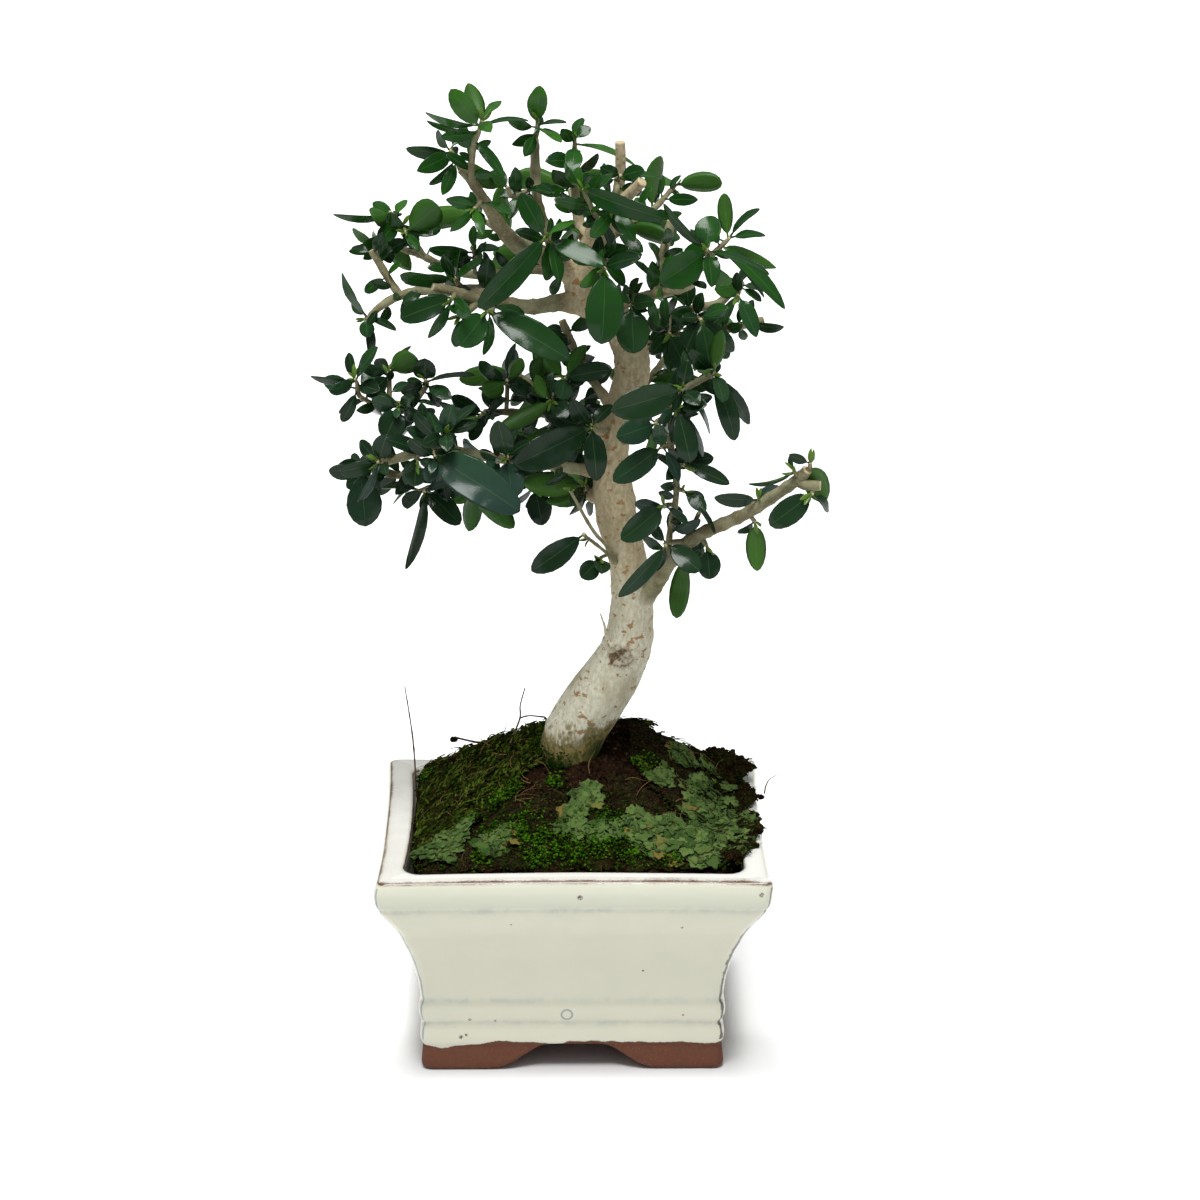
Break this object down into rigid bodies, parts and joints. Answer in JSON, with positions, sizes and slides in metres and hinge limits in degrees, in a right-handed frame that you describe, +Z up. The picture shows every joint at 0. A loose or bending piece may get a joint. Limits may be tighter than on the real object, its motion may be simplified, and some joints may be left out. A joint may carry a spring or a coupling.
{
  "type": "potted olive bonsai",
  "caption": "Small olive tree trained as a bonsai, with a curved bare trunk and leafy crown, in a footed rectangular glazed pot with moss on the soil.",
  "frame": {"origin": "on the floor, under the middle of the plant and pot's outer box", "axes": "+Z up along the tree's height, +X to the right across the pot's wide face, +Y to the back"},
  "size_m": [0.1963, 0.1314, 0.3862],
  "materials": {
    "glazed_pot": "glossy",
    "soil": "matte",
    "bark": "matte",
    "leafy_branch": "satin",
    "moss": "matte",
    "liverwort": "matte",
    "net": "matte",
    "dry_twig": "matte"
  },
  "bodies": {
    "root": {"pot": "glazed_pot", "soil": "soil", "trunk": "bark", "arm_right": "leafy_branch", "centre_branch": "leafy_branch", "crown_front": "leafy_branch", "crown_left_low": "leafy_branch", "crown_left_outer": "leafy_branch", "crown_left_rear": "leafy_branch", "crown_left_top": "leafy_branch", "crown_middle": "leafy_branch", "crown_right": "leafy_branch", "crown_right_low": "leafy_branch", "crown_right_rear": "leafy_branch", "crown_shoot": "leafy_branch", "crown_top": "leafy_branch", "low_left_front": "leafy_branch", "low_left_rear": "leafy_branch", "low_left_shoot": "leafy_branch", "low_left_upper": "leafy_branch", "mid_left": "leafy_branch", "rear_crown": "leafy_branch", "rear_crown_left": "leafy_branch", "rear_crown_right": "leafy_branch", "rear_low": "leafy_branch", "rear_mid_left": "leafy_branch", "rear_mid_right": "leafy_branch", "riser_right": "leafy_branch", "trunk_front": "leafy_branch", "trunk_high": "leafy_branch", "trunk_left": "leafy_branch", "twig_shoot": "leafy_branch", "moss_front": "moss", "moss_left": "moss", "moss_rear": "moss", "moss_right": "moss", "liverwort_left": "liverwort", "liverwort_right": "liverwort", "liverwort_slope": "liverwort", "net_left": "net", "net_right": "net", "twig_bent": "dry_twig", "twig_left": "dry_twig", "twig_rear": "dry_twig"}
  },
  "joints": []
}
